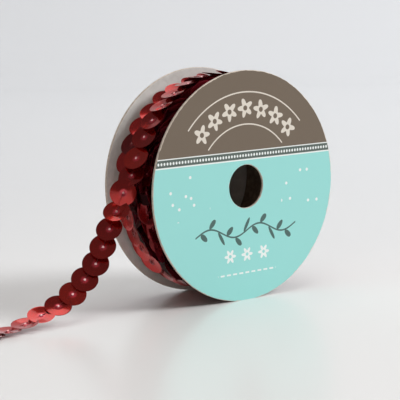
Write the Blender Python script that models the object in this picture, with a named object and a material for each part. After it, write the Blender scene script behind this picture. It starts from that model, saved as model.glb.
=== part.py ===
"""A card reel of strung sequin trim, with the loose end run down to the surface.

The reel stands on the rims of its two round flanges with its axis along Y, so Z is up
and the origin is on the surface under the middle of the reel. The trim is wound on a
wide card tube between the flanges. Its loose end leaves the winding on the -X side.
"""
import bisect
import math

import bmesh
import bpy
from mathutils import Vector

MM = 0.001

# Card reel
FLANGE_RADIUS = 27.5 * MM
FLANGE_THICKNESS = 0.6 * MM
REEL_WIDTH = 18.7 * MM
HOLE_RADIUS = 5.15 * MM
FOOT_HALF_WIDTH = 3.2 * MM
TUBE_OUTER_RADIUS = 16.2 * MM
TUBE_WALL = 1.0 * MM
CLEARANCE = 0.3 * MM

# Sequin trim
SEQUIN_RADIUS = 3.0 * MM
SEQUIN_PITCH = 4.5 * MM
SEQUINS_PER_TURN = 36
SHINGLE_RISE = 1.0 * MM
WOUND_EDGE_SOFTNESS = 0.9 * MM
LOOSE_EDGE_SOFTNESS = 0.3 * MM
STRIP_THICKNESS = 0.75 * MM
UNDERLAYER_RADIUS = 22.0 * MM

# Mesh fineness
FLANGE_SIDES = 96
TUBE_SIDES = 64
STEPS_PER_SEQUIN = 4
WINDING_COLUMNS = 16
STRIP_COLUMNS = 4

AXIS_HEIGHT = math.sqrt(FLANGE_RADIUS ** 2 - FOOT_HALF_WIDTH ** 2)
FLANGE_INNER_Y = REEL_WIDTH / 2 - FLANGE_THICKNESS
CORE_HALF_LENGTH = FLANGE_INNER_Y - CLEARANCE
PITCH_ANGLE = 360.0 / SEQUINS_PER_TURN

# The outermost turns of the trim, from the point where the loose end leaves and back
# along the trim. The angle grows from the -X side over the top, y is the middle of the
# trim, and the lean turns its face from straight outwards towards -Y.
# Columns: angle in degrees, y in mm, radius in mm, lean in degrees
WOUND_ROUTE = (
    (26.0, 0.5, 25.8, 16.0),
    (38.0, 0.7, 25.9, 6.0),
    (50.0, 0.9, 26.0, 1.0),
    (70.0, 1.2, 26.2, -5.0),
    (84.0, 2.4, 26.2, 0.0),
    (100.0, 3.2, 26.1, 2.0),
    (180.0, 3.6, 25.9, 0.0),
    (270.0, 4.4, 25.8, 4.0),
    (350.0, 5.0, 25.4, 6.0),
    (400.0, 5.2, 25.4, 8.0),
    (450.0, 4.6, 25.0, 4.0),
    (540.0, -1.4, 24.9, 0.0),
    (630.0, -3.6, 24.4, -6.0),
    (720.0, -4.6, 23.7, -10.0),
    (830.0, -4.9, 23.4, 8.0),
    (930.0, -4.8, 23.6, -8.0),
    (990.0, -2.2, 23.4, 0.0),
    (1106.0, 0.0, 23.0, 12.0),
)
FIRST_WOUND_ANGLE = WOUND_ROUTE[0][0]
LAST_WOUND_ANGLE = WOUND_ROUTE[-1][0]

# The middle of the loose end, from the winding down to the surface and along it.
# Columns: x, y, z in mm, lean of its face towards -Y in degrees
LOOSE_ROUTE = (
    (-23.8, 0.3, 37.9, 16.0),
    (-25.0, 0.2, 35.6, 18.0),
    (-26.7, 0.0, 31.7, 24.0),
    (-29.0, -0.2, 27.6, 28.0),
    (-31.3, -0.4, 23.8, 30.0),
    (-33.6, -0.5, 20.1, 32.0),
    (-35.7, -0.7, 16.2, 36.0),
    (-37.9, -0.9, 12.5, 43.0),
    (-41.0, -1.1, 9.2, 45.0),
    (-44.6, -1.3, 6.6, 40.0),
    (-48.8, -1.5, 4.5, 27.0),
    (-53.3, -1.6, 3.1, 17.0),
    (-57.6, -1.8, 1.9, 6.0),
    (-62.0, -2.0, 1.1, 1.0),
    (-66.4, -2.3, 0.85, 0.0),
    (-70.8, -2.8, 0.85, 0.0),
    (-75.2, -3.5, 0.85, 0.0),
    (-79.4, -4.4, 0.85, 0.0),
)


def make_material(name, color, roughness, metallic=0.0):
    material = bpy.data.materials.new(name)
    material.use_nodes = True
    shader = material.node_tree.nodes["Principled BSDF"]
    shader.inputs["Base Color"].default_value = (*color, 1.0)
    shader.inputs["Roughness"].default_value = roughness
    shader.inputs["Metallic"].default_value = metallic
    material.diffuse_color = (*color, 1.0)
    return material


def add_part(name, vertices, faces, material, sharp_angle=40.0):
    """Add one closed body whose faces point out, shaded smooth but for its edges."""
    mesh = bpy.data.meshes.new(name)
    mesh.from_pydata(vertices, [], faces)
    work = bmesh.new()
    work.from_mesh(mesh)
    bmesh.ops.recalc_face_normals(work, faces=work.faces)
    work.to_mesh(mesh)
    work.free()
    mesh.materials.append(material)
    mesh.shade_smooth()
    mesh.set_sharp_from_angle(angle=math.radians(sharp_angle))
    part = bpy.data.objects.new(name, mesh)
    bpy.context.scene.collection.objects.link(part)
    return part


def ring_faces(ring_count, side_count, closed):
    """Quads between neighbouring rings, and end caps where the rings don't close up."""
    faces = []
    for ring in range(ring_count if closed else ring_count - 1):
        following = (ring + 1) % ring_count
        for side in range(side_count):
            across = (side + 1) % side_count
            faces.append((
                ring * side_count + side,
                ring * side_count + across,
                following * side_count + across,
                following * side_count + side,
            ))
    if not closed:
        faces.append(tuple(range(side_count)))
        faces.append(tuple(range((ring_count - 1) * side_count, ring_count * side_count)))
    return faces


def circle_ring(radius, y, sides, foot_half_width=None):
    """A circle about the reel's axis that starts and ends at its level foot."""
    half = radius * math.sin(math.pi / sides) if foot_half_width is None else foot_half_width
    foot = math.asin(half / radius)
    step = (2 * math.pi - 2 * foot) / (sides - 1)
    ring = []
    for side in range(sides):
        angle = foot + side * step - math.pi / 2
        ring.append(Vector((radius * math.cos(angle), y, AXIS_HEIGHT + radius * math.sin(angle))))
    return ring


def add_flange(name, inner_y, outer_y, material):
    """A round card with a centre hole and a small level foot on its rim."""
    rings = [
        circle_ring(FLANGE_RADIUS, inner_y, FLANGE_SIDES, FOOT_HALF_WIDTH),
        circle_ring(FLANGE_RADIUS, outer_y, FLANGE_SIDES, FOOT_HALF_WIDTH),
        circle_ring(HOLE_RADIUS, outer_y, FLANGE_SIDES),
        circle_ring(HOLE_RADIUS, inner_y, FLANGE_SIDES),
    ]
    vertices = [point for ring in rings for point in ring]
    return add_part(name, vertices, ring_faces(len(rings), FLANGE_SIDES, True), material)


def add_core(material):
    """The card tube that holds the flanges apart and carries the winding."""
    inner_radius = TUBE_OUTER_RADIUS - TUBE_WALL
    rings = [
        circle_ring(TUBE_OUTER_RADIUS, -CORE_HALF_LENGTH, TUBE_SIDES),
        circle_ring(TUBE_OUTER_RADIUS, CORE_HALF_LENGTH, TUBE_SIDES),
        circle_ring(inner_radius, CORE_HALF_LENGTH, TUBE_SIDES),
        circle_ring(inner_radius, -CORE_HALF_LENGTH, TUBE_SIDES),
    ]
    vertices = [point for ring in rings for point in ring]
    return add_part("core", vertices, ring_faces(len(rings), TUBE_SIDES, True), material)


def wound_route_at(angle):
    """The trim's y, radius and lean at an angle of the wound route, in metres and radians."""
    angles = [row[0] for row in WOUND_ROUTE]
    after = min(max(bisect.bisect_right(angles, angle), 1), len(angles) - 1)
    start, end = WOUND_ROUTE[after - 1], WOUND_ROUTE[after]
    share = (angle - start[0]) / (end[0] - start[0])
    y, radius, lean = (a + (b - a) * share for a, b in zip(start[1:], end[1:]))
    return y * MM, radius * MM, math.radians(lean)


def shingle_height(along, across, edge_softness):
    """Height of a sequin's face over its middle, falling away past its soft edge.

    A sequin rises towards the loose end, where it lies over the next one.
    """
    past_edge = max(0.0, math.hypot(along, across) - SEQUIN_RADIUS + edge_softness)
    return SHINGLE_RISE * along / (2 * SEQUIN_RADIUS) - past_edge ** 2 / edge_softness


def winding_radius(angle, y):
    """Outer radius of the wound trim at an angle in degrees and a place along the axis."""
    radius = UNDERLAYER_RADIUS
    wound_angle = angle
    while wound_angle < LAST_WOUND_ANGLE:
        nearest = round((wound_angle - FIRST_WOUND_ANGLE) / PITCH_ANGLE)
        for sequin in (nearest - 1, nearest, nearest + 1):
            middle = FIRST_WOUND_ANGLE + (sequin + 0.6) * PITCH_ANGLE
            if not FIRST_WOUND_ANGLE < middle < LAST_WOUND_ANGLE:
                continue
            middle_y, middle_radius, lean = wound_route_at(middle)
            along = math.radians(middle - wound_angle) * middle_radius
            across = (y - middle_y) / math.cos(lean)
            height = shingle_height(along, across, WOUND_EDGE_SOFTNESS) + across * math.sin(lean)
            radius = max(radius, middle_radius + height)
        wound_angle += 360.0
    return min(radius, FLANGE_RADIUS)


def add_winding(material):
    """One solid of the wound trim, its outer turns raised as overlapping sequins."""
    steps = SEQUINS_PER_TURN * STEPS_PER_SEQUIN
    columns = [
        CORE_HALF_LENGTH * (2 * column / WINDING_COLUMNS - 1)
        for column in range(WINDING_COLUMNS + 1)
    ]
    inner_radius = TUBE_OUTER_RADIUS + CLEARANCE
    profile = [(y, None) for y in columns] + [(columns[-1], inner_radius), (columns[0], inner_radius)]
    vertices = []
    for y, fixed_radius in profile:
        for step in range(steps):
            angle = FIRST_WOUND_ANGLE + 360.0 * step / steps
            radius = winding_radius(angle, y) if fixed_radius is None else fixed_radius
            turn = math.radians(angle)
            vertices.append((-radius * math.cos(turn), y, AXIS_HEIGHT + radius * math.sin(turn)))
    return add_part("winding", vertices, ring_faces(len(profile), steps, True), material, 25.0)


def smooth_route_point(route, place):
    """A point on the smooth curve through a route's rows, place counted in rows."""
    row = min(int(place), len(route) - 2)
    share = place - row
    before = Vector(route[max(row - 1, 0)])
    start = Vector(route[row])
    end = Vector(route[row + 1])
    after = Vector(route[min(row + 2, len(route) - 1)])
    return 0.5 * (
        2 * start
        + (end - before) * share
        + (2 * before - 5 * start + 4 * end - after) * share ** 2
        + (3 * start - before - 3 * end + after) * share ** 3
    )


def loose_end_section(place, distance, sequin_count):
    """One section of the strip: its shingled face, then its back."""
    middle = smooth_route_point(LOOSE_ROUTE, place)
    nudge = 0.02
    ahead = smooth_route_point(LOOSE_ROUTE, min(place + nudge, len(LOOSE_ROUTE) - 1))
    behind = smooth_route_point(LOOSE_ROUTE, max(place - nudge, 0))
    run = (ahead - behind).to_3d().normalized()
    outward = Vector((0, 1, 0)).cross(run).normalized()
    sideways = run.cross(outward)
    lean = math.radians(middle[3])
    face = outward * math.cos(lean) - sideways * math.sin(lean)
    width = sideways * math.cos(lean) + outward * math.sin(lean)
    centre = middle.to_3d() * MM

    half_width = scalloped_half_width(distance, sequin_count)
    nearest = min(round(distance / SEQUIN_PITCH - 0.5), sequin_count - 1)
    last_over = min(nearest + 1, sequin_count - 1)
    top = []
    back = []
    for column in range(STRIP_COLUMNS + 1):
        across = half_width * (2 * column / STRIP_COLUMNS - 1)
        height = max(
            shingle_height(distance - (sequin + 0.5) * SEQUIN_PITCH, across, LOOSE_EDGE_SOFTNESS)
            for sequin in range(nearest - 1, last_over + 1)
        )
        top.append(centre + width * across + face * max(height, -SHINGLE_RISE / 2))
        back.append(centre + width * across - face * STRIP_THICKNESS)
    return top + back[::-1]


def route_length_table(route, samples_per_row):
    """Places along a route and the length in metres up to each."""
    places = [index / samples_per_row for index in range((len(route) - 1) * samples_per_row + 1)]
    lengths = [0.0]
    for before, after in zip(places, places[1:]):
        step = smooth_route_point(route, after) - smooth_route_point(route, before)
        lengths.append(lengths[-1] + step.to_3d().length * MM)
    return places, lengths


def loose_end_distances(sequin_count):
    """How far along the strip its sections stand, with the round tip of the last sequin."""
    step = SEQUIN_PITCH / STEPS_PER_SEQUIN
    last_middle = (sequin_count - 0.5) * SEQUIN_PITCH
    distances = [index * step for index in range(sequin_count * STEPS_PER_SEQUIN + 1)]
    return distances + [last_middle + share * SEQUIN_RADIUS for share in (0.87, 0.96)]


def scalloped_half_width(distance, sequin_count):
    """Half the strip's width: full at the middle of a sequin, less between two."""
    sequin = min(int(distance / SEQUIN_PITCH), sequin_count - 1)
    from_middle = distance - (sequin + 0.5) * SEQUIN_PITCH
    return math.sqrt(SEQUIN_RADIUS ** 2 - from_middle ** 2)


def add_loose_end(material):
    """The free end of the trim as one thin scalloped strip."""
    places, lengths = route_length_table(LOOSE_ROUTE, 20)
    sequin_count = int((lengths[-1] - SEQUIN_RADIUS) / SEQUIN_PITCH + 0.5)
    distances = loose_end_distances(sequin_count)
    vertices = []
    for distance in distances:
        index = min(max(bisect.bisect_right(lengths, distance), 1), len(lengths) - 1)
        share = (distance - lengths[index - 1]) / (lengths[index] - lengths[index - 1])
        place = places[index - 1] + share * (places[index] - places[index - 1])
        vertices.extend(loose_end_section(place, distance, sequin_count))
    sides = 2 * (STRIP_COLUMNS + 1)
    faces = ring_faces(len(distances), sides, False)
    return add_part("loose_end", vertices, faces, material, 25.0)


def build():
    for existing in list(bpy.data.objects):
        bpy.data.objects.remove(existing, do_unlink=True)
    printed_card = make_material("printed_card", (0.36, 0.68, 0.65), 0.35)
    plain_card = make_material("plain_card", (0.72, 0.70, 0.66), 0.7)
    tube_card = make_material("tube_card", (0.36, 0.27, 0.2), 0.85)
    sequins = make_material("red_sequins", (0.42, 0.02, 0.03), 0.25, 0.6)

    outer_y = REEL_WIDTH / 2
    add_flange("flange_front", -FLANGE_INNER_Y, -outer_y, printed_card)
    add_flange("flange_back", FLANGE_INNER_Y, outer_y, plain_card)
    add_core(tube_card)
    add_winding(sequins)
    add_loose_end(sequins)


build()
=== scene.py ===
"""The looks of a card reel of strung sequin trim.

Every sequin is a thin cupped disc with a hole, threaded on a strand and laid along the
trim's route: the outer turns of the winding, then the loose end down to the surface.
"""
import math
import random

import bpy
from mathutils import Matrix, Vector


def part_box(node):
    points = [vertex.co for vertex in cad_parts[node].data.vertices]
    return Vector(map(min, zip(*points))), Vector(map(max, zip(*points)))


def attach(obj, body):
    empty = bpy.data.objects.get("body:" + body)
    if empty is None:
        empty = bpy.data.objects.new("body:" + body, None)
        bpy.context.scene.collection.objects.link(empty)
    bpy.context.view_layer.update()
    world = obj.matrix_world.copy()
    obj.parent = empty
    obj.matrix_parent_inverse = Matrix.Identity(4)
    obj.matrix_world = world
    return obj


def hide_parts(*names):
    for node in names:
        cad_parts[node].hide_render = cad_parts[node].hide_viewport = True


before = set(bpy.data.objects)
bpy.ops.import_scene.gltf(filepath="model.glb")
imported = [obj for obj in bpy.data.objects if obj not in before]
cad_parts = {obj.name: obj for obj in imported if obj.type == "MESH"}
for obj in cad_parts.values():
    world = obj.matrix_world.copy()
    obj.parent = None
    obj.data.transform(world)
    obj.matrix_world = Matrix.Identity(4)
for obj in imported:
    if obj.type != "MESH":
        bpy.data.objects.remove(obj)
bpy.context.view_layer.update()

MM = 0.001
UP_THE_AXIS = Vector((0, 1, 0))

# Camera, worked out from the outlines of the two flanges
CAMERA_AZIMUTH = -38.204
CAMERA_ELEVATION = 8.415
CAMERA_ROLL = -0.995
CAMERA_DISTANCE = 362.4 * MM
CAMERA_LENS = 134.67
CAMERA_SENSOR = 36.0
AIM_ACROSS = -5.2 * MM
AIM_HEIGHT = 23.13 * MM

# Reel sizes, read from the frame
front_low, front_high = (Vector(corner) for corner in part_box("flange_front"))
back_low, back_high = (Vector(corner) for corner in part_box("flange_back"))
core_low, core_high = (Vector(corner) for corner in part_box("core"))
FLANGE_RADIUS = (front_high.x - front_low.x) / 2
AXIS_HEIGHT = front_high.z - FLANGE_RADIUS
HOLE_RADIUS = 5.15 * MM
CORE_RADIUS = (core_high.x - core_low.x) / 2
WINDING_HALF_LENGTH = core_high.y

# Sequins
SEQUIN_PITCH = 4.5 * MM
SEQUIN_DROP = 0.3 * MM
SEQUIN_SEED = 11
# How each length of trim is laid: the sides of a sequin, how far it sways on its thread in
# degrees, and how much its knots take the pale colour of a painted highlight, less on the
# deeper turns, which lie in shade
TRIM_LAY = {
    "loose_end_trim": (48, 1.0, 1.0),
    "last_wrap": (40, 2.0, 1.0),
    "under_turns": (28, 7.0, 0.1),
    "shaded_turns": (28, 11.0, 0.0),
}
# The face of a sequin from its hole to its rim. Columns: radius, height in mm
SEQUIN_FACE = (
    (0.28, 0.09),
    (0.38, 0.05),
    (0.55, 0.01),
    (0.85, 0.00),
    (1.08, 0.02),
    (1.30, 0.05),
    (1.70, 0.11),
    (2.30, 0.20),
    (2.80, 0.28),
    (3.05, 0.32),
    (3.12, 0.32),
)
SEQUIN_BACK = ((3.06, 0.25), (2.30, 0.12), (1.30, -0.03), (1.00, -0.07), (0.60, -0.07), (0.28, 0.00))
# A painted highlight round the hole: the film takes its accent colour fully from the first of
# these radii in, and not at all past the other
HOLE_HIGHLIGHT_REACH = (0.45, 1.1)
# Where the thread runs on one sequin, from under its outer half up through the hole and
# back over its face. Columns: along the trim, height over the sequin's middle and the
# thread's radius, in mm
THREAD_STITCH = (
    (1.7, -0.10, 0.035),
    (0.8, -0.20, 0.035),
    (0.3, -0.10, 0.08),
    (0.17, 0.10, 0.20),
    (-0.17, 0.12, 0.22),
    (-0.4, 0.05, 0.05),
    (-1.3, 0.07, 0.035),
)

# The knot's pale colour is a painted highlight. The thread is pulled up into a knot in each
# hole, where it is thicker than this
KNOT_RADIUS = 0.15 * MM
THREAD_SIDES = 8
THREAD_DARK = (0.12, 0.012, 0.014)
THREAD_LIGHT = (0.22, 0.025, 0.028)
KNOT_HIGHLIGHT_COLOUR = (1.0, 0.60, 0.61)

# The film of each group of sequins: its darkest and lightest tone, its accent colour, its tint at
# grazing angles, and how much clear coat shows. The accent colour is painted round each hole as
# a highlight, and over each buried sequin as shade. The films after the first are painted shade:
# the same red film made darker and duller the deeper the turns lie
FILMS = {
    "sequin_film": (
        (0.42, 0.013, 0.010), (0.70, 0.030, 0.017), (0.66, 0.050, 0.080), (1.0, 0.60, 0.60), 0.90,
    ),
    "under_shaded_film": (
        (0.18, 0.008, 0.009), (0.74, 0.034, 0.030), (0.25, 0.015, 0.020), (0.9, 0.50, 0.50), 0.75,
    ),
    "shaded_film": (
        (0.04, 0.003, 0.004), (0.22, 0.012, 0.014), (0.15, 0.010, 0.016), (0.4, 0.15, 0.15), 0.40,
    ),
    "buried_shaded_film": (
        (0.05, 0.004, 0.006), (0.26, 0.015, 0.018), (0.34, 0.030, 0.050), (0.4, 0.13, 0.13), 0.35,
    ),
}
# Metallic of the plain film, and of the film where its accent colour paints a highlight round the
# hole or shade over a buried sequin
PLAIN_FILM_METAL = 0.93
PAINTED_LIGHT_FILM_METAL = 0.55
FILM_ROUGHNESS = (0.12, 0.30)

# The outermost turns of the trim, near to the solid's. Columns: angle in degrees from the -X
# side over the top, y in mm, radius in mm, the lean of the face towards -Y in degrees, and
# how far each sequin's outer end rises over the next one in degrees
WOUND_ROUTE = (
    (26.0, 0.5, 25.8, 16.0, 12.0),
    (38.0, 0.7, 25.9, 6.0, 10.0),
    (50.0, 0.9, 26.0, 1.0, 14.0),
    (70.0, 0.8, 26.2, -5.0, 12.0),
    (84.0, 1.3, 26.3, 0.0, 8.0),
    (100.0, 2.0, 26.3, 2.0, 8.0),
    (180.0, 3.6, 25.9, 0.0, 8.0),
    (270.0, 4.4, 25.8, -2.0, 8.0),
    (350.0, 5.0, 25.4, -3.0, 8.0),
    (384.0, 5.0, 25.3, 8.0, 8.0),
    (400.0, 4.6, 24.9, 20.0, 8.0),
    (415.0, 4.0, 24.7, 24.0, 8.0),
    (450.0, 3.4, 24.5, 24.0, 8.0),
    (540.0, -1.4, 24.9, 0.0, 8.0),
    (630.0, -3.4, 24.9, -24.0, 8.0),
    (720.0, -4.6, 23.7, -42.0, 8.0),
    (830.0, -4.9, 23.4, -36.0, 8.0),
    (930.0, -4.8, 23.6, -30.0, 8.0),
    (990.0, -2.2, 23.4, 0.0, 8.0),
    (1106.0, 0.0, 23.0, 12.0, 8.0),
)
FIRST_WOUND_SEQUIN = 30.0
LAST_WRAP_END = 240.0
UNDER_TURN_END = 560.0
UNDER_TURN_RADIUS = 25.4 * MM

# The loose end, a row for each sequin after the first, at the solid's places. Columns: x, y
# and z in mm, the lean of its face towards -Y and its rise over the next one in degrees
LOOSE_ROUTE = (
    (-23.8, 0.3, 37.9, 16.0, 10.0),
    (-25.0, 0.2, 35.6, 18.0, 16.0),
    (-26.7, 0.0, 31.7, 24.0, 20.0),
    (-29.0, -0.2, 27.6, -113.0, 14.0),
    (-31.3, -0.4, 23.8, 28.0, 22.0),
    (-33.6, -0.5, 20.1, 32.0, 13.0),
    (-35.7, -0.7, 16.2, 38.0, 12.0),
    (-37.9, -0.9, 12.5, 44.0, 8.0),
    (-41.0, -1.1, 9.2, 43.0, 5.0),
    (-44.6, -1.3, 6.6, 41.0, 3.0),
    (-48.8, -1.5, 4.5, 32.0, 3.0),
    (-53.3, -1.6, 3.1, 20.0, 3.5),
    (-57.6, -1.8, 1.9, 5.0, 4.0),
    (-62.0, -2.0, 1.1, 1.0, 6.0),
    (-66.4, -2.3, 0.85, 0.0, 7.0),
    (-70.8, -2.8, 0.85, 0.0, 7.0),
    (-75.2, -3.5, 0.85, 0.0, 7.0),
    (-79.4, -4.4, 0.85, 0.0, 7.0),
)

# The turns under the outer ones
PACKED_RADIUS = 21.6 * MM
PACKED_LANE = 5.4 * MM
PACKED_SEED = 5
# Painted shade: the inner turns' flat dark red
PACKED_SHADE_COLOUR = (0.22, 0.03, 0.045)
BURIED_RADIUS = 22.0 * MM
# How much fuller the turns are over the top and under the bottom than at the sides
FULLER_TOP_AND_BOTTOM = 1.7 * MM
BURIED_LANES = 6
BURIED_HALF_WIDTH = 5.4 * MM
BURIED_PER_TURN = 36
BURIED_SIDES = 16
# How far a buried sequin may sit off its place
BURIED_SHIFT = 0.3 * MM
# The lean and rise of the buried sequins and how much both vary, in degrees
BURIED_LEAN = -34.0
BURIED_RISE = 8.0
BURIED_SWAY = 12.0

# How far the top of each flange leans out from the reel
FRONT_BOW = 0.1 * MM
BACK_BOW = 0.6 * MM
# Light and dark colour of each card, its roughness, the scale of its fibres and the depth of
# its grain in mm
CARDS = {
    "flange_inside": ((0.73, 0.71, 0.68), (0.64, 0.62, 0.59), 0.5, 450.0, 0.03),
    "board_edge": ((0.70, 0.62, 0.54), (0.48, 0.40, 0.33), 0.85, 1500.0, 0.08),
    "flange_outside": ((0.72, 0.71, 0.69), (0.66, 0.65, 0.62), 0.42, 450.0, 0.03),
    "tube_kraft": ((0.21, 0.155, 0.11), (0.13, 0.09, 0.065), 0.85, 900.0, 0.03),
}

# The pale sheet the reel stands on, in metres: flat, then curving up into a wall
SWEEP_REACH = 2.0
SWEEP_FLAT = 0.7
SWEEP_CURVE = 0.5
SWEEP_HEIGHT = 1.6
# The sheet's tones, by the distance behind the reel and the height added up, in metres. They are
# painted light and shade: light and warm under the reel, darker a little way behind it, lighter and
# cooler further back, and near black high up the wall, a painted dark room for the sequins to mirror
SWEEP_LIGHT_AND_SHADE_TONES = (
    (0.0, (0.785, 0.778, 0.772)),
    (0.07, (0.755, 0.755, 0.758)),
    (0.2, (0.735, 0.742, 0.755)),
    (0.6, (0.755, 0.768, 0.790)),
    (0.9, (0.785, 0.800, 0.825)),
    (2.2, (0.790, 0.810, 0.835)),
    (2.65, (0.12, 0.12, 0.12)),
)
# Name, place in metres, size, power, colour, and whether the sequins mirror it
SOFTBOXES = (
    ("key", (1.17, -1.11, 1.17), 0.8, 32.6, (0.97, 0.99, 1.0), False),
    ("top_fill", (-0.2, -0.2, 1.8), 1.6, 12.8, (1.0, 0.96, 0.92), False),
    ("left_fill", (-1.1, -0.9, 0.5), 1.0, 2.8, (1.0, 0.80, 0.70), False),
    ("overhead", (0.3, 0.55, 1.05), 0.62, 1.7, (1.0, 0.98, 0.96), True),
)
SURROUND_COLOUR = (0.97, 0.98, 1.0)
SURROUND_STRENGTH = 0.12


def place_camera():
    """The photograph's camera: its long lens, distance and slight roll."""
    azimuth = math.radians(CAMERA_AZIMUTH)
    elevation = math.radians(CAMERA_ELEVATION)
    roll = math.radians(CAMERA_ROLL)
    back = Vector((
        math.sin(azimuth) * math.cos(elevation),
        -math.cos(azimuth) * math.cos(elevation),
        math.sin(elevation),
    ))
    right = (-back).cross(Vector((0, 0, 1))).normalized()
    up = right.cross(-back)
    rolled_right = right * math.cos(roll) + up * math.sin(roll)
    rolled_up = up * math.cos(roll) - right * math.sin(roll)
    aim = Vector((AIM_ACROSS * math.cos(azimuth), AIM_ACROSS * math.sin(azimuth), AIM_HEIGHT))
    data = bpy.data.cameras.new("camera")
    data.lens = CAMERA_LENS
    data.sensor_width = CAMERA_SENSOR
    data.clip_start = 0.01
    camera = bpy.data.objects.new("camera", data)
    bpy.context.scene.collection.objects.link(camera)
    turned = Matrix((rolled_right, rolled_up, back)).transposed().to_4x4()
    camera.matrix_world = Matrix.Translation(aim + back * CAMERA_DISTANCE) @ turned
    bpy.context.scene.camera = camera


class Mesher:
    """Gathers many small shapes into one mesh.

    Each has a material and a tone, and each vertex may have an accent from 0 to 1: how far
    its material takes on its second colour.
    """

    def __init__(self):
        self.vertices = []
        self.faces = []
        self.material_of_face = []
        self.tones = []
        self.accents = []

    def add(self, vertices, faces, material=0, tone=0.5, accents=None):
        offset = len(self.vertices)
        self.vertices.extend(tuple(vertex) for vertex in vertices)
        self.faces.extend(tuple(offset + index for index in face) for face in faces)
        self.material_of_face.extend([material] * len(faces))
        self.tones.extend([tone] * len(vertices))
        self.accents.extend(accents or [0.0] * len(vertices))

    def finish(self, name, materials, sharp_angle=35.0):
        mesh = bpy.data.meshes.new(name)
        mesh.from_pydata(self.vertices, [], self.faces)
        for material in materials:
            mesh.materials.append(material)
        mesh.polygons.foreach_set("material_index", self.material_of_face)
        for quantity, values in (("tone", self.tones), ("accent", self.accents)):
            attribute = mesh.attributes.new(quantity, "FLOAT", "POINT")
            attribute.data.foreach_set("value", values)
        mesh.shade_smooth()
        mesh.set_sharp_from_angle(angle=math.radians(sharp_angle))
        piece = bpy.data.objects.new(name, mesh)
        bpy.context.scene.collection.objects.link(piece)
        return piece


def ring_faces(ring_count, side_count):
    """Quads round a shape whose rings close up in both directions."""
    faces = []
    for ring in range(ring_count):
        following = (ring + 1) % ring_count
        for side in range(side_count):
            across = (side + 1) % side_count
            faces.append((
                ring * side_count + side,
                ring * side_count + across,
                following * side_count + across,
                following * side_count + side,
            ))
    return faces


def sequin_template(sides):
    """A cupped disc with a hole, face up about the origin, its accents where a highlight is painted
    round the hole.
    """
    profile = SEQUIN_FACE + SEQUIN_BACK
    highlight_full_radius, highlight_end_radius = HOLE_HIGHLIGHT_REACH
    vertices = []
    accents = []
    for radius, height in profile:
        painted_light = (highlight_end_radius - radius) / (highlight_end_radius - highlight_full_radius)
        accents += [min(max(painted_light, 0.0), 1.0)] * sides
        for side in range(sides):
            angle = 2 * math.pi * side / sides
            vertices.append(Vector((radius * math.cos(angle), radius * math.sin(angle), height)) * MM)
    faces = [face[::-1] for face in ring_faces(len(profile), sides)]
    return vertices, faces, accents


def tube(points, radii, sides):
    """A round strand through the points, its radius given at each, capped at both ends."""
    vertices = []
    side_way = Vector((0, 1, 0))
    for index, point in enumerate(points):
        ahead = points[min(index + 1, len(points) - 1)]
        behind = points[max(index - 1, 0)]
        run = (ahead - behind).normalized()
        side_way = (side_way - run * side_way.dot(run)).normalized()
        third = run.cross(side_way)
        for side in range(sides):
            angle = 2 * math.pi * side / sides
            spoke = side_way * math.cos(angle) + third * math.sin(angle)
            vertices.append(point + spoke * radii[index])
    faces = []
    for ring in range(len(points) - 1):
        for side in range(sides):
            across = (side + 1) % sides
            faces.append((
                ring * sides + side,
                ring * sides + across,
                (ring + 1) * sides + across,
                (ring + 1) * sides + side,
            ))
    faces.append(tuple(range(sides))[::-1])
    faces.append(tuple(range((len(points) - 1) * sides, len(points) * sides)))
    return vertices, faces


def route_row(route, value):
    """The rest of a route's row at a value of its first column, read between rows."""
    index = 1
    while index < len(route) - 1 and route[index][0] < value:
        index += 1
    start, end = route[index - 1], route[index]
    share = (value - start[0]) / (end[0] - start[0])
    return [a + (b - a) * share for a, b in zip(start[1:], end[1:])]


def trim_frame(middle, run, lean, rise):
    """A sequin's place and axes: along the trim, across it, and out of its face."""
    run = run.normalized()
    outward = UP_THE_AXIS.cross(run).normalized()
    sideways = run.cross(outward)
    face = outward * math.cos(lean) - sideways * math.sin(lean)
    axes = Matrix((run, face.cross(run), face)).transposed().to_4x4()
    return Matrix.Translation(middle) @ axes @ Matrix.Rotation(-rise, 4, "Y")


def wound_point(angle):
    """A point of the winding's route."""
    y, radius = route_row(WOUND_ROUTE, angle)[:2]
    turn = math.radians(angle)
    height = AXIS_HEIGHT + radius * MM * math.sin(turn)
    return Vector((-radius * MM * math.cos(turn), y * MM, height))


def wound_frames(first_angle, last_angle):
    """Frames of the sequins of the winding, one pitch apart, from the loose end back."""
    frames = []
    angle = first_angle
    while angle < last_angle:
        _, radius, lean, rise = route_row(WOUND_ROUTE, angle)
        run = wound_point(angle - 1.0) - wound_point(angle + 1.0)
        frames.append(trim_frame(wound_point(angle), run, math.radians(lean), math.radians(rise)))
        angle += math.degrees(SEQUIN_PITCH / (radius * MM))
    return frames


def loose_frames():
    """Frames of the sequins of the loose end, from the winding out to its tip."""
    frames = []
    points = [Vector(row[:3]) * MM for row in LOOSE_ROUTE]
    for index in range(1, len(points)):
        ahead = points[min(index + 1, len(points) - 1)]
        run = ahead - points[index - 1]
        lean, rise = (math.radians(angle) for angle in LOOSE_ROUTE[index][3:])
        frames.append(trim_frame(points[index], run, lean, rise))
    return frames


def unsettle(frame_of_sequin, chance, sway):
    """A sequin's frame tipped and turned a little at random, as it sits on its thread."""
    tilt = math.radians(chance.gauss(0, 0.25 * sway))
    roll = math.radians(chance.gauss(0, sway))
    turn = math.radians(chance.gauss(0, 2 * sway))
    shift = Vector((chance.gauss(0, 0.08), chance.gauss(0, 0.1), 0)) * MM
    return (
        frame_of_sequin
        @ Matrix.Translation(shift - Vector((0, 0, SEQUIN_DROP)))
        @ Matrix.Rotation(roll, 4, "X")
        @ Matrix.Rotation(tilt, 4, "Y")
        @ Matrix.Rotation(turn, 4, "Z")
    )


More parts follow.
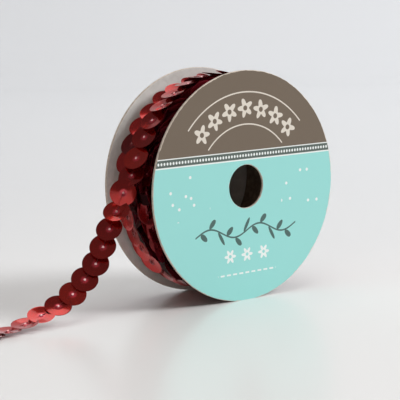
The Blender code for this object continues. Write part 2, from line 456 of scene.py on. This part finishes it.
def lay_trim(name, frames, materials, chance):
    """A length of trim: a sequin on each frame and the thread through their holes."""
    sides, sway, knot_highlight = TRIM_LAY[name]
    mesher = Mesher()
    vertices, faces, accents = sequin_template(sides)
    strand = []
    radii = [radius * MM for _, _, radius in THREAD_STITCH] * len(frames)
    for frame_of_sequin in frames:
        placed = unsettle(frame_of_sequin, chance, sway)
        tone = chance.random()
        mesher.add([placed @ vertex for vertex in vertices], faces, 0, tone, accents)
        stitches = [placed @ (Vector((along, 0, height)) * MM) for along, height, _ in THREAD_STITCH]
        strand = stitches + strand if strand else stitches
    strand_vertices, strand_faces = tube(strand, radii, THREAD_SIDES)
    # Painted highlight: the knot in each hole takes the pale colour as far as this length allows
    pale = [knot_highlight if radius > KNOT_RADIUS else 0.0 for radius in radii for _ in range(THREAD_SIDES)]
    mesher.add(strand_vertices, strand_faces, 1, 0.5, pale)
    return mesher.finish(name, materials)


def new_material(name):
    """A plain material, its node tree and its shader."""
    material = bpy.data.materials.new(name)
    material.use_nodes = True
    return material, material.node_tree, material.node_tree.nodes["Principled BSDF"]


def add_noise(tree, scale, detail, distortion=0.0):
    """Noise that stays with the piece, its scale by the metre."""
    place = tree.nodes.new("ShaderNodeTexCoord")
    noise = tree.nodes.new("ShaderNodeTexNoise")
    noise.inputs["Scale"].default_value = scale
    noise.inputs["Detail"].default_value = detail
    noise.inputs["Distortion"].default_value = distortion
    tree.links.new(place.outputs["Object"], noise.inputs["Vector"])
    return noise.outputs["Fac"]


def add_ramp(tree, factor, dark, light):
    """A colour between two, from dark where the factor is 0 to light where it is 1."""
    ramp = tree.nodes.new("ShaderNodeValToRGB")
    ramp.color_ramp.elements[0].color = (*dark, 1)
    ramp.color_ramp.elements[1].color = (*light, 1)
    tree.links.new(factor, ramp.inputs["Fac"])
    return ramp


def add_attribute(tree, name):
    """A value that the mesh carries at each vertex."""
    attribute = tree.nodes.new("ShaderNodeAttribute")
    attribute.attribute_name = name
    return attribute.outputs["Fac"]


def link_accented(tree, shader, colour, accent_colour):
    """Base colour that turns to the accent colour where the mesh's accent is 1."""
    mix = tree.nodes.new("ShaderNodeMix")
    mix.data_type = "RGBA"
    mix.inputs["B"].default_value = (*accent_colour, 1)
    tree.links.new(add_attribute(tree, "accent"), mix.inputs["Factor"])
    tree.links.new(colour, mix.inputs["A"])
    tree.links.new(mix.outputs["Result"], shader.inputs["Base Color"])


def add_spread(tree, factor, first, last, socket):
    """A socket that runs from the first value to the last as the factor goes from 0 to 1."""
    spread = tree.nodes.new("ShaderNodeMapRange")
    spread.inputs["To Min"].default_value = first
    spread.inputs["To Max"].default_value = last
    tree.links.new(factor, spread.inputs["Value"])
    tree.links.new(spread.outputs["Result"], socket)


def add_bump(tree, shader, height, depth, strength=1.0):
    """Fine relief on a surface, its depth in metres."""
    bump = tree.nodes.new("ShaderNodeBump")
    bump.inputs["Strength"].default_value = strength
    bump.inputs["Distance"].default_value = depth
    tree.links.new(height, bump.inputs["Height"])
    tree.links.new(bump.outputs["Normal"], shader.inputs["Normal"])


def sequin_material(name):
    """Coloured metallised film: dark where it mirrors the dark side, red where it mirrors light."""
    dark, light, painted_light, grazing, coat = FILMS[name]
    material, tree, shader = new_material(name)
    ramp = add_ramp(tree, add_attribute(tree, "tone"), dark, light)
    # The accent paints a lighter, less metallic highlight round each hole, and a dull shade over each
    # buried sequin
    link_accented(tree, shader, ramp.outputs["Color"], painted_light)
    accent = add_attribute(tree, "accent")
    add_spread(tree, accent, PLAIN_FILM_METAL, PAINTED_LIGHT_FILM_METAL, shader.inputs["Metallic"])
    shader.inputs["Specular Tint"].default_value = (*grazing, 1)
    shader.inputs["Coat Weight"].default_value = coat
    shader.inputs["Coat Roughness"].default_value = 0.06
    grain = add_noise(tree, scale=900.0, detail=3.0)
    add_spread(tree, grain, *FILM_ROUGHNESS, shader.inputs["Roughness"])
    add_bump(tree, shader, grain, 0.03 * MM, strength=0.25)
    return material


def thread_material():
    """Twisted dark red thread, painted pale where its accent marks a knot, as a highlight in the
    hole.
    """
    material, tree, shader = new_material("sewing_thread")
    place = tree.nodes.new("ShaderNodeTexCoord")
    twist = tree.nodes.new("ShaderNodeTexWave")
    twist.inputs["Scale"].default_value = 900.0
    twist.inputs["Distortion"].default_value = 1.0
    tree.links.new(place.outputs["Object"], twist.inputs["Vector"])
    ramp = add_ramp(tree, twist.outputs["Fac"], THREAD_DARK, THREAD_LIGHT)
    link_accented(tree, shader, ramp.outputs["Color"], KNOT_HIGHLIGHT_COLOUR)
    shader.inputs["Roughness"].default_value = 0.6
    add_bump(tree, shader, twist.outputs["Fac"], 0.04 * MM)
    return material


def packed_shade_material():
    """Painted shade: a flat, dull dark red between the outer sequins, where hardly any light gets in.
    """
    material, _, shader = new_material("packed_shade")
    shader.inputs["Base Color"].default_value = (*PACKED_SHADE_COLOUR, 1)
    shader.inputs["Roughness"].default_value = 1.0
    shader.inputs["Specular IOR Level"].default_value = 0.0
    return material


def card_material(name):
    """Card or board: two close colours broken up by fibres, and a fine rough grain."""
    light, dark, roughness, grain_scale, bump_depth = CARDS[name]
    material, tree, shader = new_material(name)
    fibres = add_noise(tree, grain_scale, detail=6.0, distortion=0.6)
    ramp = add_ramp(tree, fibres, dark, light)
    ramp.color_ramp.elements[0].position = 0.35
    ramp.color_ramp.elements[1].position = 0.65
    tree.links.new(ramp.outputs["Color"], shader.inputs["Base Color"])
    shader.inputs["Roughness"].default_value = roughness
    add_bump(tree, shader, fibres, bump_depth * MM, strength=0.5)
    return material


class Drawing:
    """Builds the printed label's shapes from Math nodes.

    Lengths are in millimetres, and a depth is measured down from the middle of the disc.
    """

    def __init__(self, tree):
        self.tree = tree

    def do(self, operation, *values):
        node = self.tree.nodes.new("ShaderNodeMath")
        node.operation = operation
        for slot, value in enumerate(values):
            if isinstance(value, (int, float)):
                node.inputs[slot].default_value = value
            else:
                self.tree.links.new(value, node.inputs[slot])
        return node.outputs[0]

    def length(self, x, y):
        return self.do("SQRT", self.do("ADD", self.do("MULTIPLY", x, x), self.do("MULTIPLY", y, y)))

    def both(self, *masks):
        result = masks[0]
        for mask in masks[1:]:
            result = self.do("MULTIPLY", result, mask)
        return result

    def either(self, *masks):
        result = masks[0]
        for mask in masks[1:]:
            result = self.do("MAXIMUM", result, mask)
        return result

    def within(self, value, limit):
        """1 where the value is nearer to 0 than the limit."""
        return self.do("LESS_THAN", self.do("ABSOLUTE", value), limit)

    def repeat(self, value, pitch):
        """The value folded into cells one pitch wide, centred on 0, and the cell's number."""
        cell = self.do("ROUND", self.do("DIVIDE", value, pitch))
        return self.do("SUBTRACT", value, self.do("MULTIPLY", cell, pitch)), cell

    def flower(self, x, y, size, petals, eye):
        """A round-petalled flower with an open eye."""
        reach = self.length(x, y)
        turn = self.do("MULTIPLY", self.do("ARCTAN2", y, x), petals)
        edge = self.do("MULTIPLY_ADD", self.do("COSINE", turn), 0.26 * size, 0.74 * size)
        return self.both(
            self.do("LESS_THAN", reach, edge), self.do("GREATER_THAN", reach, eye)
        )

    def paint(self, below, colour, mask):
        mix = self.tree.nodes.new("ShaderNodeMix")
        mix.data_type = "RGBA"
        self.tree.links.new(mask, mix.inputs["Factor"])
        if isinstance(below, tuple):
            mix.inputs["A"].default_value = (*below, 1)
        else:
            self.tree.links.new(below, mix.inputs["A"])
        mix.inputs["B"].default_value = (*colour, 1)
        return mix.outputs["Result"]


TAUPE = (0.178, 0.140, 0.106)
TURQUOISE = (0.338, 0.726, 0.692)
BAND_GREEN = (0.115, 0.145, 0.130)
CREAM = (0.74, 0.68, 0.60)
DEEP_TEAL = (0.085, 0.150, 0.138)
PRINT_WHITE = (0.86, 0.90, 0.88)
BOARD_CREAM = (0.66, 0.58, 0.50)


def paint_fields(draw, x, z):
    """Two plain fields and a dotted band between them, edged with two lines."""
    band_height = 7.4
    line_offset = 1.0
    dot_pitch = 0.86
    dot_radius = 0.26
    dot_stretch = 0.75
    above_band = draw.do("SUBTRACT", z, band_height)
    colour = draw.paint(TURQUOISE, TAUPE, draw.do("GREATER_THAN", above_band, 0.0))
    colour = draw.paint(colour, BAND_GREEN, draw.within(above_band, 0.95))
    upper_line = draw.within(draw.do("SUBTRACT", above_band, line_offset), 0.12)
    lower_line = draw.within(draw.do("ADD", above_band, line_offset), 0.16)
    colour = draw.paint(colour, PRINT_WHITE, draw.either(upper_line, lower_line))
    dot_x, _ = draw.repeat(x, dot_pitch)
    dot_z = draw.do("MULTIPLY", above_band, dot_stretch)
    dots = draw.do("LESS_THAN", draw.length(dot_x, dot_z), dot_radius)
    return draw.paint(colour, PRINT_WHITE, dots)


def garland(draw, x, z, reach):
    """Seven flowers in an arc over the hole, between two thin arcs."""
    radius = 18.6
    flower_step = math.radians(15.0)
    arc_radii = (22.4, 14.8)
    half_arc = math.radians(50.0)
    turn = draw.do("SUBTRACT", draw.do("ARCTAN2", z, x), math.pi / 2)
    flower_turn, cell = draw.repeat(turn, flower_step)
    along = draw.do("MULTIPLY", flower_turn, radius)
    outward = draw.do("SUBTRACT", reach, radius)
    flower = draw.flower(along, outward, size=2.35, petals=5, eye=0.6)
    within_arc = draw.within(turn, half_arc)
    arcs = [
        draw.both(draw.within(draw.do("SUBTRACT", reach, arc_radius), 0.16), within_arc)
        for arc_radius in arc_radii
    ]
    return draw.either(draw.both(flower, draw.within(cell, 3.5)), *arcs)


def stem_and_leaves(draw, x, z):
    """A wavy stem under the hole, with leaves above and below it by turns."""
    depth = 10.5
    wave_height = 1.3
    wave_rate = 0.42
    half_length = 15.5
    leaf_pitch = 2.6
    leaf_offset = 1.35
    leaf_lean = math.radians(52.0)
    leaf_half_length = 1.45
    leaf_half_width = 0.55
    wave = draw.do("SINE", draw.do("MULTIPLY", x, wave_rate))
    over_stem = draw.do("SUBTRACT", draw.do("ADD", z, depth), draw.do("MULTIPLY", wave, wave_height))
    stem = draw.both(draw.within(over_stem, 0.2), draw.within(x, half_length))
    leaf_x, leaf_cell = draw.repeat(x, leaf_pitch)
    side = draw.do("COSINE", draw.do("MULTIPLY", leaf_cell, math.pi))
    leaf_y = draw.do("SUBTRACT", draw.do("MULTIPLY", over_stem, side), leaf_offset)
    along = draw.do(
        "ADD",
        draw.do("MULTIPLY", leaf_x, math.cos(leaf_lean)),
        draw.do("MULTIPLY", leaf_y, math.sin(leaf_lean)),
    )
    across = draw.do(
        "SUBTRACT",
        draw.do("MULTIPLY", leaf_y, math.cos(leaf_lean)),
        draw.do("MULTIPLY", leaf_x, math.sin(leaf_lean)),
    )
    leaf_reach = draw.length(
        draw.do("DIVIDE", along, leaf_half_length), draw.do("DIVIDE", across, leaf_half_width)
    )
    leaves = draw.both(draw.do("LESS_THAN", leaf_reach, 1.0), draw.within(leaf_cell, 5.5))
    return draw.either(stem, leaves)


def buds_and_stitches(draw, x, z):
    """Three small flowers in a row, and a dashed line under them."""
    bud_pitch = 5.2
    bud_depth = 16.3
    dash_pitch = 1.9
    dash_depth = 20.7
    half_row = 9.0
    bud_x, bud_cell = draw.repeat(x, bud_pitch)
    bud_z = draw.do("ADD", z, bud_depth)
    bud = draw.flower(bud_x, bud_z, size=1.75, petals=6, eye=0.42)
    buds = draw.both(bud, draw.within(bud_cell, 1.5))
    dash_x, _ = draw.repeat(x, dash_pitch)
    dash_z = draw.do("ADD", z, dash_depth)
    dashes = draw.both(draw.within(dash_x, 0.6), draw.within(dash_z, 0.2), draw.within(x, half_row))
    return draw.either(buds, dashes)


def scattered_seeds(draw, split, x, z, reach):
    """Small dots at random on both sides of the hole."""
    nearest_side = 11.0
    depth = 1.0
    half_height = 5.5
    farthest = 24.5
    tree = draw.tree
    flat = tree.nodes.new("ShaderNodeCombineXYZ")
    tree.links.new(split.outputs["X"], flat.inputs[0])
    tree.links.new(split.outputs["Z"], flat.inputs[1])
    scatter = tree.nodes.new("ShaderNodeTexVoronoi")
    scatter.voronoi_dimensions = "2D"
    scatter.inputs["Scale"].default_value = 230.0
    tree.links.new(flat.outputs[0], scatter.inputs["Vector"])
    return draw.both(
        draw.do("LESS_THAN", scatter.outputs["Distance"], 0.085),
        draw.do("GREATER_THAN", draw.do("ABSOLUTE", x), nearest_side),
        draw.within(draw.do("ADD", z, depth), half_height),
        draw.do("LESS_THAN", reach, farthest),
    )


def label_material():
    """The printed front: two fields with a band between them, ornaments, and worn edges."""
    material, tree, shader = new_material("printed_label")
    draw = Drawing(tree)
    place = tree.nodes.new("ShaderNodeTexCoord")
    split = tree.nodes.new("ShaderNodeSeparateXYZ")
    tree.links.new(place.outputs["Object"], split.inputs[0])
    x = draw.do("DIVIDE", split.outputs["X"], MM)
    z = draw.do("DIVIDE", draw.do("SUBTRACT", split.outputs["Z"], AXIS_HEIGHT), MM)
    reach = draw.length(x, z)

    colour = paint_fields(draw, x, z)
    colour = draw.paint(colour, CREAM, garland(draw, x, z, reach))
    colour = draw.paint(colour, DEEP_TEAL, stem_and_leaves(draw, x, z))
    seeds = scattered_seeds(draw, split, x, z, reach)
    colour = draw.paint(colour, PRINT_WHITE, draw.either(buds_and_stitches(draw, x, z), seeds))

    rim = FLANGE_RADIUS / MM
    hole = HOLE_RADIUS / MM
    wear = add_noise(tree, scale=700.0, detail=4.0)
    worn = draw.either(
        draw.do("GREATER_THAN", draw.do("MULTIPLY_ADD", wear, 0.5, reach), rim + 0.12),
        draw.do("LESS_THAN", draw.do("SUBTRACT", reach, wear), hole - 0.42),
    )
    colour = draw.paint(colour, BOARD_CREAM, worn)

    mottle = add_noise(tree, scale=60.0, detail=5.0)
    shade = tree.nodes.new("ShaderNodeHueSaturation")
    tree.links.new(draw.do("MULTIPLY_ADD", mottle, 0.03, 0.985), shade.inputs["Value"])
    tree.links.new(colour, shade.inputs["Color"])
    tree.links.new(shade.outputs["Color"], shader.inputs["Base Color"])
    tree.links.new(draw.do("MULTIPLY_ADD", wear, 0.16, 0.3), shader.inputs["Roughness"])
    shader.inputs["Specular IOR Level"].default_value = 0.3
    add_bump(tree, shader, wear, 0.02 * MM, strength=0.3)
    return material


def add_flange(name, inner_y, outer_y, bow, materials):
    """A card disc with softly rounded edges, bowed so that its top leans out from straight up.

    Its materials are those of its inner face, its edges and its outer face.
    """
    sides = 240
    rounding = 0.1 * MM
    middle_radii = [HOLE_RADIUS + rounding, HOLE_RADIUS + 2.5 * rounding]
    middle_radii += [9 * MM, 14 * MM, 19 * MM, 24 * MM, FLANGE_RADIUS - 2.5 * rounding]
    # Radius and the way through the card, from 0 on its inner face to 1 on its outer one
    inner_face = [(radius, 0.0) for radius in middle_radii] + [(FLANGE_RADIUS - rounding, 0.0)]
    rim = [(FLANGE_RADIUS - 0.3 * rounding, 0.06), (FLANGE_RADIUS, 0.2), (FLANGE_RADIUS, 0.8)]
    outer_face = [(FLANGE_RADIUS - 0.3 * rounding, 0.94), (FLANGE_RADIUS - rounding, 1.0)]
    outer_face += [(radius, 1.0) for radius in reversed(middle_radii)]
    hole = [(HOLE_RADIUS, 0.8), (HOLE_RADIUS, 0.2)]
    profile = inner_face + rim + outer_face + hole
    material_of_ring = [0] * (len(inner_face) - 1) + [1] * (len(rim) + 1)
    material_of_ring += [2] * (len(outer_face) - 1) + [1] * (len(hole) + 1)
    vertices = []
    for radius, depth in profile:
        for side in range(sides):
            angle = 2 * math.pi * side / sides
            x = radius * math.cos(angle)
            z = max(AXIS_HEIGHT + radius * math.sin(angle), 0.0)
            ripple = 0.05 * MM * math.sin(3 * angle + 0.7) * radius / FLANGE_RADIUS
            lift = bow * z / (2 * FLANGE_RADIUS)
            outward = math.copysign(1.0, outer_y)
            y = inner_y + (outer_y - inner_y) * depth + outward * (lift + ripple)
            vertices.append(Vector((x, y, z)))
    faces = ring_faces(len(profile), sides)
    if outer_y > inner_y:
        faces = [face[::-1] for face in faces]
    mesher = Mesher()
    mesher.add(vertices, faces)
    mesher.material_of_face = [material for material in material_of_ring for _ in range(sides)]
    piece = mesher.finish(name, materials, 50.0)
    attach(piece, "root")
    return piece


def add_buried_turns(materials, chance):
    """Sequins of the turns just under the outer ones, tipped up on edge at random."""
    mesher = Mesher()
    vertices, faces, _ = sequin_template(BURIED_SIDES)
    # Painted shade: each buried sequin takes its film's accent colour all over, a dull, less metallic
    # dark red
    accents = [1.0] * len(vertices)
    for lane in range(BURIED_LANES):
        lane_y = BURIED_HALF_WIDTH * (2 * lane / (BURIED_LANES - 1) - 1)
        for step in range(BURIED_PER_TURN):
            turn = 2 * math.pi * (step + chance.random()) / BURIED_PER_TURN
            radius = BURIED_RADIUS + FULLER_TOP_AND_BOTTOM * math.sin(turn) ** 2
            radius += chance.uniform(-BURIED_SHIFT, BURIED_SHIFT)
            middle = Vector((
                -radius * math.cos(turn),
                lane_y + chance.uniform(-BURIED_SHIFT, BURIED_SHIFT),
                AXIS_HEIGHT + radius * math.sin(turn),
            ))
            run = Vector((-math.sin(turn), 0, -math.cos(turn)))
            placed = trim_frame(
                middle,
                run,
                math.radians(chance.gauss(BURIED_LEAN, BURIED_SWAY)),
                math.radians(chance.gauss(BURIED_RISE, BURIED_SWAY)),
            )
            mesher.add([placed @ vertex for vertex in vertices], faces, 0, chance.random(), accents)
    return mesher.finish("buried_turns", materials)


def add_inner_body(material):
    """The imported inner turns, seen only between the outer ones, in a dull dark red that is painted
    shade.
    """
    sides = 180
    columns = 40
    inner_radius = CORE_RADIUS + 0.3 * MM
    chance = random.Random(PACKED_SEED)
    waves = [
        (chance.randint(9, 40), chance.uniform(0, 6.28), chance.uniform(0.05, 0.2))
        for _ in range(12)
    ]
    profile = []
    for column in range(columns + 1):
        y = WINDING_HALF_LENGTH * (2 * column / columns - 1)
        profile.append((y, None))
    profile += [(WINDING_HALF_LENGTH, inner_radius), (-WINDING_HALF_LENGTH, inner_radius)]
    vertices = []
    for y, fixed in profile:
        for side in range(sides):
            angle = 2 * math.pi * side / sides
            radius = fixed
            if fixed is None:
                ripple = sum(
                    size * math.sin(count * angle + phase + 900 * y) for count, phase, size in waves
                )
                lanes = 0.5 * math.cos(2 * math.pi * y / PACKED_LANE)
                radius = PACKED_RADIUS + (0.4 * ripple + 0.3 * lanes) * MM
                radius += 0.7 * FULLER_TOP_AND_BOTTOM * math.sin(angle) ** 2
            height = AXIS_HEIGHT + radius * math.sin(angle)
            vertices.append(Vector((-radius * math.cos(angle), y, height)))
    mesher = Mesher()
    mesher.add(vertices, ring_faces(len(profile), sides), 0, 0.1)
    return mesher.finish("packed_turns", [material])


def add_trim():
    """The outer turns and the loose end, laid from the loose end back along the trim."""
    film, under_shaded_film, shaded_film, buried_shaded_film = [sequin_material(name) for name in FILMS]
    thread = thread_material()
    chance = random.Random(SEQUIN_SEED)

    loose_end = lay_trim("loose_end_trim", loose_frames()[::-1], [film, thread], chance)
    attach(loose_end, "root")
    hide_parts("loose_end")

    half_step = math.degrees(SEQUIN_PITCH / UNDER_TURN_RADIUS) / 2
    # The deeper lengths take the darker films: painted shade for the turns lying under the last wrap
    lengths = (
        ("last_wrap", FIRST_WOUND_SEQUIN, LAST_WRAP_END, film),
        ("under_turns", LAST_WRAP_END + half_step, UNDER_TURN_END, under_shaded_film),
        ("shaded_turns", UNDER_TURN_END, WOUND_ROUTE[-1][0], shaded_film),
    )
    pieces = [
        lay_trim(name, wound_frames(first, last), [own_film, thread], chance)
        for name, first, last, own_film in lengths
    ]
    pieces.append(add_buried_turns([buried_shaded_film], chance))
    pieces.append(add_inner_body(packed_shade_material()))
    for piece in pieces:
        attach(piece, "root")
        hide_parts("winding")


def add_reel():
    """The two card flanges and the tube between them."""
    inner_card, board, plain, tube_card = [card_material(name) for name in CARDS]
    front_materials = [inner_card, board, label_material()]
    front = add_flange("front_card", front_high.y, front_low.y, FRONT_BOW, front_materials)
    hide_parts("flange_front")
    back = add_flange("back_card", back_low.y, back_high.y, BACK_BOW, [inner_card, board, plain])
    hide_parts("flange_back")
    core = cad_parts["core"]
    core.data.materials.clear()
    core.data.materials.append(tube_card)


def add_sweep():
    """A pale sheet that lies flat under the reel and curves up into a wall behind it, its tones
    painted with light and shade.
    """
    azimuth = math.radians(CAMERA_AZIMUTH)
    forward = Vector((-math.sin(azimuth), math.cos(azimuth), 0))
    across = Vector((forward.y, -forward.x, 0))
    profile = [(-SWEEP_REACH, 0.0), (SWEEP_FLAT, 0.0)]
    steps = 24
    for step in range(1, steps + 1):
        angle = math.pi / 2 * step / steps
        profile.append((
            SWEEP_FLAT + SWEEP_CURVE * math.sin(angle),
            SWEEP_CURVE * (1 - math.cos(angle)),
        ))
    profile.append((SWEEP_FLAT + SWEEP_CURVE, SWEEP_HEIGHT))
    vertices = []
    for distance, height in profile:
        for side in (-SWEEP_REACH, SWEEP_REACH):
            vertices.append(forward * distance + across * side + Vector((0, 0, height)))
    faces = [(2 * i, 2 * i + 1, 2 * i + 3, 2 * i + 2) for i in range(len(profile) - 1)]
    mesh = bpy.data.meshes.new("floor")
    mesh.from_pydata(vertices, [], faces)
    mesh.shade_smooth()
    floor = bpy.data.objects.new("floor", mesh)
    bpy.context.scene.collection.objects.link(floor)
    material, tree, shader = new_material("pale_surface")
    place = tree.nodes.new("ShaderNodeTexCoord")
    back = tree.nodes.new("ShaderNodeVectorMath")
    back.operation = "DOT_PRODUCT"
    back.inputs[1].default_value = (forward.x, forward.y, 1.0)
    tree.links.new(place.outputs["Object"], back.inputs[0])
    climb = tree.nodes.new("ShaderNodeMapRange")
    climb.inputs["From Max"].default_value = SWEEP_LIGHT_AND_SHADE_TONES[-1][0]
    tree.links.new(back.outputs["Value"], climb.inputs["Value"])
    # The tones paint light and shade along the sheet, near black high up the wall
    ramp = tree.nodes.new("ShaderNodeValToRGB")
    stops = ramp.color_ramp.elements
    while len(stops) < len(SWEEP_LIGHT_AND_SHADE_TONES):
        stops.new(0.5)
    for stop, (way, tone) in zip(stops, SWEEP_LIGHT_AND_SHADE_TONES):
        stop.position = way / SWEEP_LIGHT_AND_SHADE_TONES[-1][0]
        stop.color = (*tone, 1)
    tree.links.new(climb.outputs["Result"], ramp.inputs["Fac"])
    tree.links.new(ramp.outputs["Color"], shader.inputs["Base Color"])
    shader.inputs["Roughness"].default_value = 0.25
    shader.inputs["Specular IOR Level"].default_value = 0.35
    mesh.materials.append(material)


def add_lights():
    """The softboxes, all turned towards the reel, and a dim surround."""
    target = Vector((0, 0, AXIS_HEIGHT))
    for name, place, size, power, colour, mirrored in SOFTBOXES:
        data = bpy.data.lights.new(name, "AREA")
        data.shape = "SQUARE"
        data.size = size
        data.energy = power
        data.color = colour
        lamp = bpy.data.objects.new(name, data)
        lamp.location = place
        lamp.rotation_euler = (target - Vector(place)).to_track_quat("-Z", "Y").to_euler()
        lamp.visible_glossy = mirrored
        bpy.context.scene.collection.objects.link(lamp)

    world = bpy.data.worlds.new("surround")
    world.use_nodes = True
    bpy.context.scene.world = world
    background = world.node_tree.nodes["Background"]
    background.inputs["Color"].default_value = (*SURROUND_COLOUR, 1)
    background.inputs["Strength"].default_value = SURROUND_STRENGTH
    bpy.context.scene.view_settings.view_transform = "Standard"


place_camera()
add_trim()
add_reel()
add_sweep()
add_lights()
